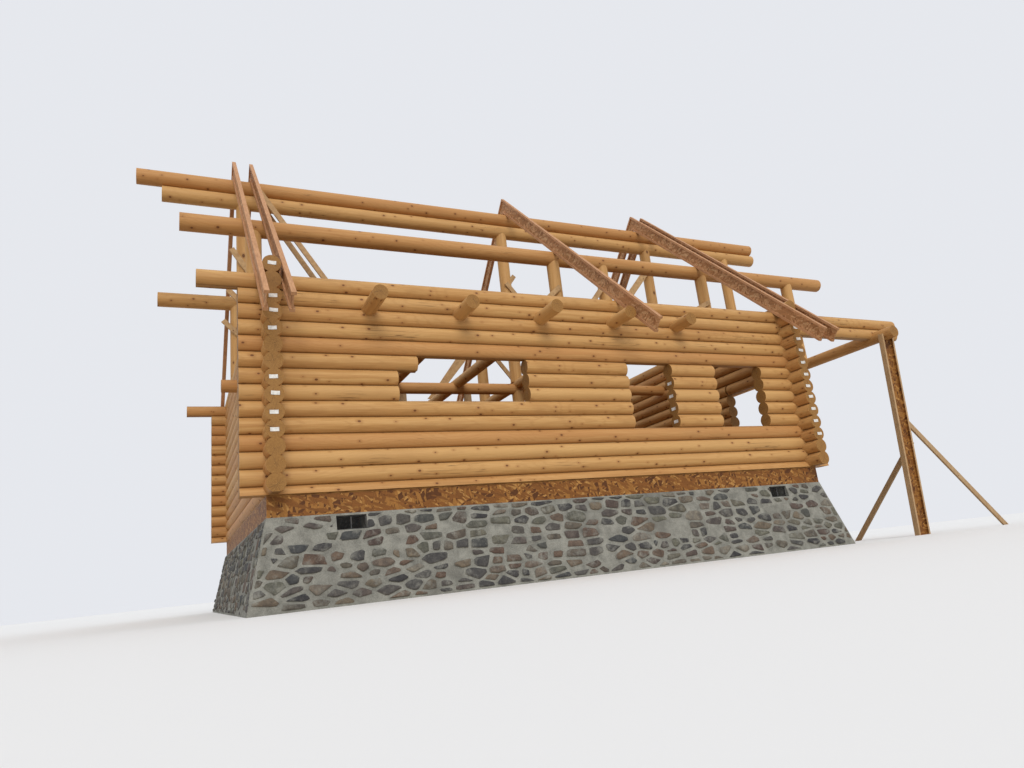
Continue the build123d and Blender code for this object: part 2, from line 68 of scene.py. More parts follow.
class Finish:
    """A node-based finish, built one node at a time."""

    def __init__(self, name):
        self.material = bpy.data.materials.new(name)
        self.material.use_nodes = True
        self.tree = self.material.node_tree
        self.tree.nodes.clear()
        output = self.tree.nodes.new("ShaderNodeOutputMaterial")
        self.shader = self.tree.nodes.new("ShaderNodeBsdfPrincipled")
        self.tree.links.new(self.shader.outputs[0], output.inputs[0])
        coordinates = self.tree.nodes.new("ShaderNodeTexCoord")
        self.place = coordinates.outputs["Object"]
        self.normal = coordinates.outputs["Normal"]

    def put(self, node, socket, value):
        """Link a socket to another one, or set it to a plain value."""
        if isinstance(value, bpy.types.NodeSocket):
            self.tree.links.new(value, node.inputs[socket])
        elif value is not None:
            node.inputs[socket].default_value = value

    def math(self, operation, a, b=None):
        node = self.tree.nodes.new("ShaderNodeMath")
        node.operation = operation
        self.put(node, 0, a)
        self.put(node, 1, b)
        return node.outputs[0]

    def sum(self, first, *others):
        for other in others:
            first = self.math("ADD", first, other)
        return first

    def times(self, a, b):
        return self.math("MULTIPLY", a, b)

    def parts(self, vector):
        """The X, Y and Z of a vector, or the red, green and blue of a colour."""
        node = self.tree.nodes.new("ShaderNodeSeparateXYZ")
        self.put(node, 0, vector)
        return node.outputs

    def vector(self, x, y, z):
        node = self.tree.nodes.new("ShaderNodeCombineXYZ")
        for socket, value in enumerate((x, y, z)):
            self.put(node, socket, value)
        return node.outputs[0]

    def scaled(self, vector, scale, location=(0, 0, 0)):
        node = self.tree.nodes.new("ShaderNodeMapping")
        self.put(node, "Vector", vector)
        self.put(node, "Scale", scale)
        self.put(node, "Location", location)
        return node.outputs[0]

    def noise(self, vector, scale=1.0, detail=3.0, roughness=0.55):
        node = self.tree.nodes.new("ShaderNodeTexNoise")
        self.put(node, "Vector", vector)
        self.put(node, "Scale", scale)
        self.put(node, "Detail", detail)
        self.put(node, "Roughness", roughness)
        return node.outputs["Fac"]

    def cells(self, vector, scale=1.0, dimensions="3D"):
        """Scattered cells, with the distance to each centre and a colour drawn for each."""
        node = self.tree.nodes.new("ShaderNodeTexVoronoi")
        node.voronoi_dimensions = dimensions
        self.put(node, "Vector", vector)
        self.put(node, "Scale", scale)
        return node.outputs

    def chance(self, vector):
        """A number from 0 to 1 that stays the same where the vector does."""
        node = self.tree.nodes.new("ShaderNodeTexWhiteNoise")
        self.put(node, "Vector", vector)
        return node.outputs["Value"]

    def attribute(self, name):
        node = self.tree.nodes.new("ShaderNodeAttribute")
        node.attribute_name = name
        return node.outputs["Fac"]

    def band(self, value, low, high, out_low=0.0, out_high=1.0):
        """The value carried from one range over to another, and held at its ends."""
        node = self.tree.nodes.new("ShaderNodeMapRange")
        for socket, number in enumerate((value, low, high, out_low, out_high)):
            self.put(node, socket, number)
        return node.outputs[0]

    def ramp(self, value, *stops):
        """A colour that runs through the stops, each a position and a colour."""
        node = self.tree.nodes.new("ShaderNodeValToRGB")
        elements = node.color_ramp.elements
        while len(elements) < len(stops):
            elements.new(0.5)
        for element, (position, colour) in zip(elements, stops):
            element.position = position
            element.color = (*colour, 1)
        self.put(node, 0, value)
        return node.outputs[0]

    def mix(self, amount, a, b, kind="MIX"):
        """The first colour at 0 and the second at 1."""
        node = self.tree.nodes.new("ShaderNodeMix")
        node.data_type = "RGBA"
        node.blend_type = kind
        self.put(node, 0, amount)
        for socket, value in ((6, a), (7, b)):
            self.put(node, socket, (*value, 1) if isinstance(value, tuple) else value)
        return node.outputs[2]

    def bump(self, height, distance, strength=1.0):
        node = self.tree.nodes.new("ShaderNodeBump")
        self.put(node, "Height", height)
        self.put(node, "Distance", distance)
        self.put(node, "Strength", strength)
        self.put(self.shader, "Normal", node.outputs[0])

    def done(self, colour, roughness, gloss=0.25):
        """Set the shader's own inputs, and hand over the finished material."""
        self.put(self.shader, "Base Color", (*colour, 1) if isinstance(colour, tuple) else colour)
        self.put(self.shader, "Roughness", roughness)
        self.put(self.shader, "Specular IOR Level", gloss)
        return self.material


def dress(node, finish):
    """Give a CAD node its finish."""
    for slot in nodes[node].material_slots:
        slot.material = finish


def mortar_tone(look):
    """Colour and height of mortar: sandy, trowelled in patches and darker where it is damp."""
    sand = look.noise(look.place, 75.0, 4.0, 0.7)
    trowel = look.noise(look.place, 7.0, 3.0, 0.6)
    damp = look.band(look.noise(look.place, 1.6, 2.0), 0.56, 0.74, 0.0, 0.5)
    grit = look.sum(look.times(sand, 0.45), look.times(trowel, 0.55))
    colour = look.ramp(grit, (0.36, mortar_shade), (0.60, mortar_light))
    colour = look.mix(damp, colour, damp_grey)
    return colour, look.sum(look.times(sand, 0.3), trowel)


mortar = Finish("mortar")
mortar_colour, mortar_height = mortar_tone(mortar)
mortar.bump(mortar_height, 0.02, 0.8)
mortar.done(mortar_colour, 0.93)
for node in ("foundation_front", "foundation_right", "foundation_back", "foundation_left"):
    dress(node, mortar.material)


# Fieldstones: flat rubble of all sizes, bedded in the mortar and standing a little proud of it.
# Each stone is laid out as a rounded outline on its wall's face, and the tree raises it to a pillow.
class Pattern:
    """A Geometry Nodes tree, built one node at a time, with a named input for each of its sizes."""

    def __init__(self, name, **sizes):
        self.tree = bpy.data.node_groups.new(name, "GeometryNodeTree")
        sockets = self.tree.interface
        sockets.new_socket("Geometry", in_out="INPUT", socket_type="NodeSocketGeometry")
        sockets.new_socket("Geometry", in_out="OUTPUT", socket_type="NodeSocketGeometry")
        self.sizes = {}
        for size, value in sizes.items():
            socket = sockets.new_socket(size, in_out="INPUT", socket_type="NodeSocketFloat")
            self.sizes[socket.identifier] = value
        self.given = self.tree.nodes.new("NodeGroupInput").outputs
        self.base = self.given["Geometry"]

    def put(self, kind, inputs, output=0, **settings):
        """Add a node with its settings and inputs; an output of None hands over all of them."""
        node = self.tree.nodes.new(kind)
        for setting, value in settings.items():
            setattr(node, setting, value)
        for socket, value in inputs.items():
            if isinstance(value, bpy.types.NodeSocket):
                self.tree.links.new(value, node.inputs[socket])
            else:
                node.inputs[socket].default_value = value
        return node.outputs if output is None else node.outputs[output]

    def value(self, operation, a, b):
        return self.put("ShaderNodeMath", {0: a, 1: b}, operation=operation)

    def named(self, name, kind="FLOAT"):
        return self.put("GeometryNodeInputNamedAttribute", {"Name": name}, data_type=kind)

    def end(self, geometry, finish):
        """Make the instances real, give them their material and close the tree."""
        real = self.put("GeometryNodeRealizeInstances", {0: geometry})
        painted = self.put("GeometryNodeSetMaterial", {"Geometry": real, "Material": finish})
        self.put("NodeGroupOutput", {0: painted}, None)


def grow(name, base, pattern):
    """Turn a base mesh and its pattern into one plain mesh that rides on the building."""
    piece = bpy.data.objects.new(name, base)
    bpy.context.scene.collection.objects.link(piece)
    modifier = piece.modifiers.new("pattern", "NODES")
    modifier.node_group = pattern.tree
    for identifier, value in pattern.sizes.items():
        modifier[identifier] = value
    piece.update_tag()
    graph = bpy.context.evaluated_depsgraph_get()
    plain = bpy.data.meshes.new_from_object(piece.evaluated_get(graph))
    piece.modifiers.remove(modifier)
    piece.data = plain
    plain.name = name
    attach(piece, "root")


stone_look = Finish("fieldstone")
tone = stone_look.attribute("tone")
rise = stone_look.attribute("rise")
speckle = stone_look.noise(stone_look.place, 46.0, 4.0, 0.7)
clouds = stone_look.noise(stone_look.place, 11.0, 3.0)
rock = stone_look.ramp(
    tone,
    (0.00, (0.042, 0.042, 0.045)),
    (0.18, (0.078, 0.077, 0.075)),
    (0.34, (0.082, 0.062, 0.055)),
    (0.48, (0.112, 0.112, 0.088)),
    (0.62, (0.050, 0.054, 0.058)),
    (0.78, (0.135, 0.114, 0.086)),
    (0.90, (0.098, 0.066, 0.052)),
    (1.00, (0.170, 0.160, 0.134)),
)
cloudy = stone_look.ramp(clouds, (0.30, (0.68, 0.68, 0.70)), (0.70, (1.30, 1.28, 1.22)))
flecked = stone_look.ramp(speckle, (0.30, (0.72, 0.72, 0.74)), (0.70, (1.34, 1.32, 1.28)))
rock = stone_look.mix(1.0, rock, cloudy, "MULTIPLY")
rock = stone_look.mix(1.0, rock, flecked, "MULTIPLY")
smear_colour = mortar_tone(stone_look)[0]
ragged = stone_look.sum(rise, stone_look.times(clouds, 0.55), stone_look.times(speckle, 0.25))
smear = stone_look.band(ragged, 0.86, 1.04, 1.0, 0.0)
film = stone_look.band(stone_look.noise(stone_look.place, 6.0, 5.0, 0.75), 0.50, 0.66, 0.0, 0.7)
smeared = stone_look.math("MAXIMUM", smear, film)
stone_look.bump(stone_look.sum(stone_look.times(speckle, 0.6), clouds), 0.008, 0.8)
dullness = stone_look.band(speckle, 0.3, 0.7, 0.75, 0.92)
stone_look.done(stone_look.mix(smeared, rock, smear_colour), dullness)

pillow = Pattern("stone_pillow", Relief=1.0, Roughness=0.020, Grain=15.0)
proud = pillow.value("MULTIPLY", pillow.named("proud"), pillow.given["Relief"])
shape = pillow.base
top = True
pillow_steps = ((0.60, 0.97, 0.45), (0.32, 0.90, 0.85), (0.08, 0.55, 1.0))
for share, narrow, level in pillow_steps:
    step = pillow.value("MULTIPLY", proud, share)
    lifting = {"Mesh": shape, "Selection": top, "Offset Scale": step, "Individual": True}
    raised = pillow.put("GeometryNodeExtrudeMesh", lifting, None)
    top = raised["Top"]
    narrowing = {"Geometry": raised["Mesh"], "Selection": top, "Scale": narrow}
    shape = pillow.put("GeometryNodeScaleElements", narrowing)
    shape = pillow.put(
        "GeometryNodeStoreNamedAttribute",
        {"Geometry": shape, "Selection": top, "Name": "rise", "Value": level},
        data_type="FLOAT",
        domain="POINT",
    )
underside = pillow.put("GeometryNodeFlipFaces", {"Mesh": pillow.base})
joined = pillow.tree.nodes.new("GeometryNodeJoinGeometry")
pillow.tree.links.new(underside, joined.inputs[0])
pillow.tree.links.new(shape, joined.inputs[0])
closed = pillow.put("GeometryNodeMergeByDistance", {"Geometry": joined.outputs[0], "Distance": 0.00001})
here = pillow.put("GeometryNodeInputPosition", {})
grain = {"Vector": here, "Scale": pillow.given["Grain"], "Detail": 2.0}
wander = pillow.put("ShaderNodeTexNoise", grain, "Color")
centred = pillow.put("ShaderNodeVectorMath", {0: wander, 1: (0.5, 0.5, 0.5)}, operation="SUBTRACT")
reach = {0: centred, "Scale": pillow.given["Roughness"]}
moved = pillow.put("ShaderNodeVectorMath", reach, operation="SCALE")
uneven = pillow.put("GeometryNodeSetPosition", {"Geometry": closed, "Offset": moved})
soft = pillow.put("GeometryNodeSetShadeSmooth", {0: uneven, "Shade Smooth": True})
pillow.end(soft, stone_look.material)


def keep_side(outline, point, direction):
    """The part of a convex outline that lies behind a line through a point."""
    kept = []
    for number, here in enumerate(outline):
        ahead = outline[(number + 1) % len(outline)]
        depth = (here - point).dot(direction)
        next_depth = (ahead - point).dot(direction)
        if depth <= 0:
            kept.append(here)
        if depth * next_depth < 0:
            kept.append(here.lerp(ahead, depth / (depth - next_depth)))
    return kept


vent_width = 0.36
vent_height = 0.17
vent_inset = 0.87
vent_drop = 0.11
vent_centres = (vent_inset, wall_length - vent_inset)
vent_level = stone_height - vent_drop
stone_margin = 0.022
stone_rise = (0.075, 0.145)
stone_run = (0.10, 0.40)
stone_weight = (0.55, 1.0)
narrowest_joint = 0.008
joint_spread = 0.030
smallest_stone = 0.028
corner_cut = (0.05, 0.24)
flattened = 1.9
bare_share = 0.12
neighbours = 14
stone_bed = 0.012
stone_proud = (0.006, 0.022)
first_stone_seed = 11


def stone_outlines(length, vents, rng):
    """Outlines of the stones on one face, as cells round scattered centres, shrunk to leave the joints.

    Each centre has a weight, so that large stones push back small ones. Heights are stretched while the
    cells are cut, which leaves the stones flatter than they are wide.
    """
    centres = []
    level = -0.02
    while level < stone_height:
        rise = rng.uniform(*stone_rise)
        along = rng.uniform(-0.15, 0.0)
        while along < length:
            run = rng.uniform(*stone_run)
            height = (level + rise / 2 + rng.uniform(-0.03, 0.03)) * flattened
            centres.append((Vector((along + run / 2, height)), rng.uniform(*stone_weight)))
            along += run
        level += rise
    outlines = []
    for centre, weight in centres:
        low, high = stone_margin, stone_height - stone_margin
        corners = ((low, low), (length - low, low), (length - low, high), (low, high))
        outline = [Vector((x, y * flattened)) for x, y in corners]
        joint = narrowest_joint + joint_spread * rng.random() ** 1.4
        nearest = sorted(centres, key=lambda other: (other[0] - centre).length_squared)
        for other, other_weight in nearest[1 : neighbours + 1]:
            across = (other - centre).normalized()
            gap = joint + rng.uniform(0.0, 0.012)
            border = centre.lerp(other, weight / (weight + other_weight)) - across * gap
            outline = keep_side(outline, border, across)
        outline = [Vector((point.x, point.y / flattened)) for point in outline]
        centre = Vector((centre.x, centre.y / flattened))
        for vent in vents:
            aside = centre - vent
            wide = vent_width / 2 + stone_margin
            high = vent_height / 2 + stone_margin
            if abs(aside.x) / wide > abs(aside.y) / high:
                side = math.copysign(1, aside.x)
                outline = keep_side(outline, vent + Vector((side * wide, 0)), Vector((-side, 0)))
            else:
                side = math.copysign(1, aside.y)
                outline = keep_side(outline, vent + Vector((0, side * high)), Vector((0, -side)))
        if len(outline) < 3 or rng.random() < bare_share:
            continue
        widths = [max(p[axis] for p in outline) - min(p[axis] for p in outline) for axis in (0, 1)]
        if min(widths) < smallest_stone:
            continue
        rounded = []
        for number, corner in enumerate(outline):
            cut = rng.uniform(*corner_cut)
            rounded.append(corner.lerp(outline[number - 1], cut))
            rounded.append(corner.lerp(outline[(number + 1) % len(outline)], cut))
        outlines.append(rounded)
    return outlines


def lay_stones(name, start, along, outward, length, vents, seed):
    """Lay the stones of one face; start is the left end of its top edge, seen from outside."""
    rng = random.Random(seed)
    points = []
    faces = []
    tones = []
    prouds = []
    top_length = length + 2 * stone_outset
    for outline in stone_outlines(top_length, vents, rng):
        faces.append(range(len(points), len(points) + len(outline)))
        for point in outline:
            lean = (stone_height - point.y) * math.tan(batter)
            run = -lean + point.x * (top_length + 2 * lean) / top_length
            inward = outward * (lean - stone_bed)
            points.append(start + along * run + inward + Vector((0, 0, point.y - stone_height)))
        tone = rng.random()
        tones += [tone] * len(outline)
        prouds.append(stone_bed + rng.uniform(*stone_proud))
    mesh = bpy.data.meshes.new(name)
    mesh.from_pydata(points, [], faces)
    mesh.attributes.new("tone", "FLOAT", "POINT").data.foreach_set("value", tones)
    mesh.attributes.new("proud", "FLOAT", "FACE").data.foreach_set("value", prouds)
    grow(name, mesh, pillow)


out = stone_outset
corners = [
    Vector((-out, -out, stone_height)),
    Vector((wall_length + out, -out, stone_height)),
    Vector((wall_length + out, wall_depth + out, stone_height)),
    Vector((-out, wall_depth + out, stone_height)),
]
sides = (
    ("stones_front", wall_length, True),
    ("stones_right", wall_depth, False),
    ("stones_back", wall_length, True),
    ("stones_left", wall_depth, False),
)
for number, (name, length, has_vents) in enumerate(sides):
    start = corners[number]
    along = (corners[(number + 1) % 4] - start).normalized()
    outward = Vector((along.y, -along.x, 0))
    vents = [Vector((centre + out, vent_level)) for centre in vent_centres] if has_vents else []
    lay_stones(name, start, along, outward, length, vents, first_stone_seed + number)

# Vents: a pressed metal frame with a bar down its middle in each opening, screened with wire.
# They are set a little back in the stone, two in the front and two in the back.
frame_bar = 0.012
frame_depth = 0.016
vent_recess = 0.045
enamel = Finish("dark_enamel")
dust = enamel.noise(enamel.place, 40.0, 3.0)
enamel.done(enamel.ramp(dust, (0.35, (0.018, 0.018, 0.019)), (0.70, (0.075, 0.072, 0.066))), 0.55, 0.5)


def add_bar(mesh, low, high):
    """Add one closed square bar between two corners."""
    made = bmesh.ops.create_cube(mesh, size=1.0)["verts"]
    size = [b - a for a, b in zip(low, high)]
    middle = [(a + b) / 2 for a, b in zip(low, high)]
    for vertex in made:
        vertex.co = Vector([m + s * c for m, s, c in zip(middle, size, vertex.co)])


vent_frames = bmesh.new()
screen_points = []
half_bar = frame_bar / 2
face_lean = (stone_height - vent_level) * math.tan(batter)
low_z = vent_level - vent_height / 2
high_z = vent_level + vent_height / 2
for face_y, inward in ((-stone_outset - face_lean, 1), (wall_depth + stone_outset + face_lean, -1)):
    near = face_y + inward * vent_recess
    front, back = sorted((near, near + inward * frame_depth))
    for centre in vent_centres:
        left = centre - vent_width / 2
        right = centre + vent_width / 2
        for x0, x1, z0, z1 in (
            (left, right, low_z, low_z + frame_bar),
            (left, right, high_z - frame_bar, high_z),
            (left, left + frame_bar, low_z + frame_bar, high_z - frame_bar),
            (right - frame_bar, right, low_z + frame_bar, high_z - frame_bar),
            (centre - half_bar, centre + half_bar, low_z + frame_bar, high_z - frame_bar),
        ):
            add_bar(vent_frames, (x0, front, z0), (x1, back, z1))
        screen_points.append((centre, (front + back) / 2, vent_level))
bmesh.ops.recalc_face_normals(vent_frames, faces=vent_frames.faces)
frame_mesh = bpy.data.meshes.new("vent_frames")
vent_frames.to_mesh(frame_mesh)
vent_frames.free()
frame_mesh.materials.append(enamel.material)
frame_piece = bpy.data.objects.new("vent_frames", frame_mesh)
bpy.context.scene.collection.objects.link(frame_piece)
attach(frame_piece, "root")

screen = Pattern("wire_screen", Width=vent_width, Height=vent_height, Spacing=0.014, Wire=0.0014)
spacing = screen.given["Spacing"]
wire = screen.given["Wire"]
screen_parts = screen.tree.nodes.new("GeometryNodeJoinGeometry")
for axis, across, reach in (("X", "Width", "Height"), ("Z", "Height", "Width")):
    other = "Z" if axis == "X" else "X"
    wire_size = screen.put("ShaderNodeCombineXYZ", {axis: wire, "Y": wire, other: screen.given[reach]})
    one_wire = screen.put("GeometryNodeMeshCube", {"Size": wire_size})
    edge = screen.value("MULTIPLY", screen.given[across], -0.5)
    first = screen.value("ADD", edge, spacing)
    places = screen.put(
        "GeometryNodeMeshLine",
        {
            "Count": screen.value("DIVIDE", screen.given[across], spacing),
            "Start Location": screen.put("ShaderNodeCombineXYZ", {axis: first}),
            "Offset": screen.put("ShaderNodeCombineXYZ", {axis: spacing}),
        },
        mode="OFFSET",
    )
    wires = screen.put("GeometryNodeInstanceOnPoints", {"Points": places, "Instance": one_wire})
    screen.tree.links.new(wires, screen_parts.inputs[0])
one_screen = screen.put("GeometryNodeGeometryToInstance", {0: screen_parts.outputs[0]})
screens = screen.put("GeometryNodeInstanceOnPoints", {"Points": screen.base, "Instance": one_screen})
screen.end(screens, enamel.material)
screen_mesh = bpy.data.meshes.new("vent_screens")
screen_mesh.from_pydata(screen_points, [], [])
grow("vent_screens", screen_mesh, screen)

# Strand board: the rim boards, the floor deck and the webs of the I-joists.
# Flat strands of wood up to 120 mm long, pressed in every direction and glued.
strand_layers = 6


def strands(look, flat, tones):
    """Colour and height of pressed strands; flat is the axis that the sheet is thin along."""
    tilt = {0: (0.0, 1.0, 1.0), 1: (1.0, 0.0, 1.0), 2: (1.0, 1.0, 0.0)}[flat]
    sheet = look.scaled(look.place, tilt)
    colour = tones[0]
    height = look.noise(sheet, 7.0, 2.0)
    long_way = {0: (1, 8, 33), 1: (8, 1, 33), 2: (8, 33, 1)}[flat]
    # Each layer of strands lies turned on the last one and covers part of it.
    for number in range(strand_layers):
        turn = look.tree.nodes.new("ShaderNodeVectorRotate")
        turn.rotation_type = ("X_AXIS", "Y_AXIS", "Z_AXIS")[flat]
        look.put(turn, "Vector", sheet)
        look.put(turn, "Angle", 0.3 + number * 1.13)
        chips = look.cells(look.scaled(turn.outputs[0], long_way, (number * 3.1,) * 3))
        kept, shade, depth = look.parts(chips["Color"])
        over = look.math("GREATER_THAN", kept, 0.62)
        tone = tones[1 + number % (len(tones) - 1)]
        darker = tuple(channel * 0.78 for channel in tone)
        colour = look.mix(over, colour, look.mix(shade, tone, darker))
        height = look.math("ADD", height, look.times(over, depth))
    fibres = look.noise(look.scaled(sheet, (50, 50, 50)), 1.0, 2.0)
    streaks = look.ramp(fibres, (0.3, (0.86, 0.85, 0.84)), (0.7, (1.14, 1.13, 1.12)))
    colour = look.mix(1.0, colour, streaks, "MULTIPLY")
    return colour, height


rim_tones = (
    (0.190, 0.074, 0.015),
    (0.310, 0.138, 0.030),
    (0.210, 0.080, 0.016),
    (0.430, 0.222, 0.062),
    (0.105, 0.036, 0.008),
)
web_tones = (
    (0.470, 0.242, 0.112),
    (0.570, 0.320, 0.155),
    (0.428, 0.212, 0.090),
    (0.665, 0.414, 0.213),
    (0.330, 0.152, 0.064),
)


def strand_finish(name, flat, tones):
    """A sheet of strand board; its cut edges show the pressed layers as thin lines."""
    look = Finish(name)
    colour, height = strands(look, flat, tones)
    thin = tuple(260 if axis == flat else 9 for axis in range(3))
    layers = look.noise(look.scaled(look.place, thin), 1.0, 2.0)
    edge = look.math("LESS_THAN", look.math("ABSOLUTE", look.parts(look.normal)[flat]), 0.5)
    colour = look.mix(edge, colour, look.ramp(layers, (0.40, tones[4]), (0.60, tones[3])))
    look.bump(height, 0.0010, 0.6)
    return look.done(colour, 0.62)


thin_ways = {"rim_front": 1, "rim_back": 1, "rim_left": 0, "rim_right": 0, "floor_deck": 2}
for node, flat in thin_ways.items():
    dress(node, strand_finish(node + "_strands", flat, rim_tones))

# I-joists of the floor: two sawn flanges with a thin strand-board web glued between them.
# The rafters further on are made the same way and share this finish; the porch props are made the same
# way but get a finish of their own.
joist_count = 13
joist_spacing = 0.61
web_reach = 0.009  # to either side of a web's middle


def joist_finish(name, flat, lines, grain):
    """Sawn flanges and a strand-board web.

    flat is the axis across the webs, lines are the webs' places on it, and grain is how finely the
    flanges' fibres run along each axis.
    """
    look = Finish(name)
    x, y, z = look.parts(look.place)
    across = (x, y, z)[flat]
    near = None
    for line in lines:
        gap = look.math("ABSOLUTE", look.math("SUBTRACT", across, line))
        near = gap if near is None else look.math("MINIMUM", near, gap)
    upright = look.math("GREATER_THAN", look.math("ABSOLUTE", look.parts(look.normal)[flat]), 0.5)
    web = look.times(upright, look.math("LESS_THAN", near, web_reach))
    colour, height = strands(look, flat, web_tones)
    fibres = look.noise(look.scaled(look.place, grain), 1.0, 4.0, 0.65)
    stain = look.band(look.noise(look.place, 3.0, 2.0), 0.45, 0.7, 0.0, 0.4)
    flange = look.ramp(fibres, (0.30, (0.375, 0.182, 0.086)), (0.66, (0.545, 0.296, 0.148)))
    flange = look.mix(stain, flange, (0.375, 0.196, 0.096))
    look.bump(look.sum(fibres, look.times(web, height)), 0.0009, 0.5)
    return look.done(look.mix(web, flange, colour), 0.66)


joist_lines = [
    wall_length / 2 + (number - joist_count // 2) * joist_spacing for number in range(joist_count)
]
dress("floor_joists", joist_finish("floor_joist_wood", 0, joist_lines, (60, 6, 60)))

# Log walls. Round logs milled from conifer trunks, bare of bark, 220 mm through.
# Each is coped to sit on the log below and saddle-notched over the crossing wall.
# The finish follows each log: its growth rings run through it and come out at the cut ends.
log_radius = 0.110
course = 0.2032
log_base = 1.3
corner_overhang = 0.363
wood_shade = (0.370, 0.185, 0.058)
wood_mid = (0.485, 0.262, 0.090)
wood_pale = (0.580, 0.350, 0.138)
wood_red = (0.440, 0.195, 0.066)
knot_brown = (0.110, 0.038, 0.012)
ring_spacing = 0.0085
end_dark = (0.205, 0.090, 0.021)
end_pale = (0.375, 0.198, 0.053)


def log_finish(name, along, centre, pitch=0.0):
    """Milled log: along is 0, 1 or 2 for the way it runs, and centre is its axis across that.

    A pitch repeats the log upwards, and each row then draws its own tone and grain.
    """
    look = Finish(name)
    x, y, z = look.parts(look.place)
    run, side, rise = ((x, y, z), (y, x, z), (z, x, y))[along]
    above = look.math("SUBTRACT", rise, centre[1])
    row = 0.0
    if pitch:
        row = look.math("ROUND", look.math("DIVIDE", above, pitch))
        above = look.math("SUBTRACT", above, look.times(row, pitch))
    across = look.math("SUBTRACT", side, centre[0])
    # Each log draws a number from 0 to 1, and starts at its own place along the fibres.
    which = look.chance(look.vector(row, round(centre[0] * 3), along + round(centre[1] * 7) / 10))
    run = look.sum(run, look.times(which, 37.0))
    fibre_place = look.vector(run, across, above)
    fine = look.noise(look.scaled(fibre_place, (2.2, 120, 120)), 1.0, 3.0, 0.6)
    broad = look.noise(look.scaled(fibre_place, (0.5, 16, 16)), 1.0, 2.0, 0.5)
    # Growth rings, round a pith that wanders a little off the middle.
    bend = look.noise(look.scaled(fibre_place, (0.8, 0.8, 0.8)), 1.0, 1.0)
    pith_across = look.sum(across, look.band(bend, 0.2, 0.8, -0.03, 0.03))
    pith_above = look.sum(above, look.band(which, 0.0, 1.0, -0.03, 0.03))
    squares = look.sum(look.times(pith_across, pith_across), look.times(pith_above, pith_above))
    from_pith = look.math("SQRT", squares)
    ripple = look.noise(look.scaled(fibre_place, (1.3, 14, 14)), 1.0, 3.0, 0.6)
    growth = look.sum(from_pith, look.times(run, 0.009), look.times(ripple, 0.022))
    rings = look.math("SINE", look.times(growth, 2 * math.pi / ring_spacing))
    late_wood = look.band(rings, 0.2, 1.0)
    # The peeled skin, paler or redder from log to log, with weather stains.
    tonal = look.sum(look.times(fine, 0.5), look.times(broad, 0.5))
    wood = look.ramp(tonal, (0.30, wood_shade), (0.47, wood_mid), (0.64, wood_pale))
    wood = look.mix(look.times(late_wood, 0.30), wood, wood_shade)
    wood = look.mix(look.band(which, 0.50, 1.0, 0.0, 0.55), wood, wood_red)
    wood = look.mix(look.band(which, 0.0, 0.45, 0.60, 0.0), wood, wood_pale)
    stain = look.noise(look.scaled(fibre_place, (1.1, 2.6, 2.6)), 1.0, 2.0)
    wood = look.mix(look.band(stain, 0.50, 0.72, 0.0, 0.4), wood, (0.400, 0.215, 0.080))
    # Knots scattered over the skin, each with a darker ring of fibres about it.
    angle = look.math("ARCTAN2", across, above)
    girth = look.times(angle, log_radius)
    knots = look.cells(look.vector(look.times(run, 3.3), look.times(girth, 5.0), 0.0), 1.0, "2D")
    drawn = look.parts(knots["Color"])[0]
    reach = look.sum(look.times(drawn, 0.090), -0.022)
    from_knot = look.math("SUBTRACT", knots["Distance"], reach)
    halo = look.times(look.band(from_knot, 0.14, 0.0, 0.0, 0.5), look.math("GREATER_THAN", reach, 0.0))
    wood = look.mix(halo, wood, (0.310, 0.130, 0.040))
    wood = look.mix(look.band(from_knot, 0.012, -0.008, 0.0, 0.85), wood, knot_brown)
    # Drying cracks, along the fibres and only where the log has dried most.
    crack_line = look.noise(look.scaled(fibre_place, (0.45, 26, 26), (3, 7, 2)), 1.0, 2.0, 0.5)
    crack = look.math("ABSOLUTE", look.math("SUBTRACT", crack_line, 0.5))
    dry_place = look.scaled(fibre_place, (0.6, 1.5, 1.5), (5, 1, 8))
    dry = look.band(look.noise(dry_place, 1.0, 2.0), 0.56, 0.64)
    crack = look.times(look.band(crack, 0.010, 0.003), dry)
    wood = look.mix(look.times(crack, 0.75), wood, (0.085, 0.040, 0.016))
    # The joint between two courses is painted darker: partly dirt that the joint takes, partly painted
    # shade where each log shades the next.
    if pitch:
        joint = look.band(look.math("ABSOLUTE", above), pitch * 0.43, pitch * 0.51, 0.0, 0.75)
        wood = look.mix(joint, wood, (0.130, 0.055, 0.018))
    # The sawn ends, with rings, splits that run out from the pith, and the pith itself.
    rough = look.noise(look.scaled(look.place, (70, 70, 70)), 1.0, 3.0)
    ring_marks = look.sum(look.times(late_wood, -0.6), look.times(rough, 0.8))
    end = look.ramp(ring_marks, (0.0, end_dark), (0.55, end_pale))
    end = look.mix(look.band(stain, 0.45, 0.65, 0.0, 0.4), end, (0.300, 0.156, 0.046))
    turned = look.math("ARCTAN2", pith_above, pith_across)
    spokes = look.noise(look.vector(look.times(turned, 3.0), look.times(which, 50.0), 0.0), 2.2, 1.0)
    split_line = look.math("ABSOLUTE", look.math("SUBTRACT", spokes, 0.5))
    splits = look.times(look.band(split_line, 0.016, 0.004), look.band(from_pith, 0.11, 0.03))
    end = look.mix(splits, end, (0.05, 0.024, 0.010))
    end = look.mix(look.band(from_pith, 0.007, 0.004), end, (0.12, 0.055, 0.02))
    cut = look.math("GREATER_THAN", look.math("ABSOLUTE", look.parts(look.normal)[along]), 0.93)
    height = look.sum(fine, look.times(broad, 0.6), look.times(late_wood, 0.25), look.times(crack, -2.0))
    look.bump(height, 0.0012, 0.5)
    return look.done(look.mix(cut, wood, end), look.band(fine, 0.3, 0.7, 0.52, 0.68))


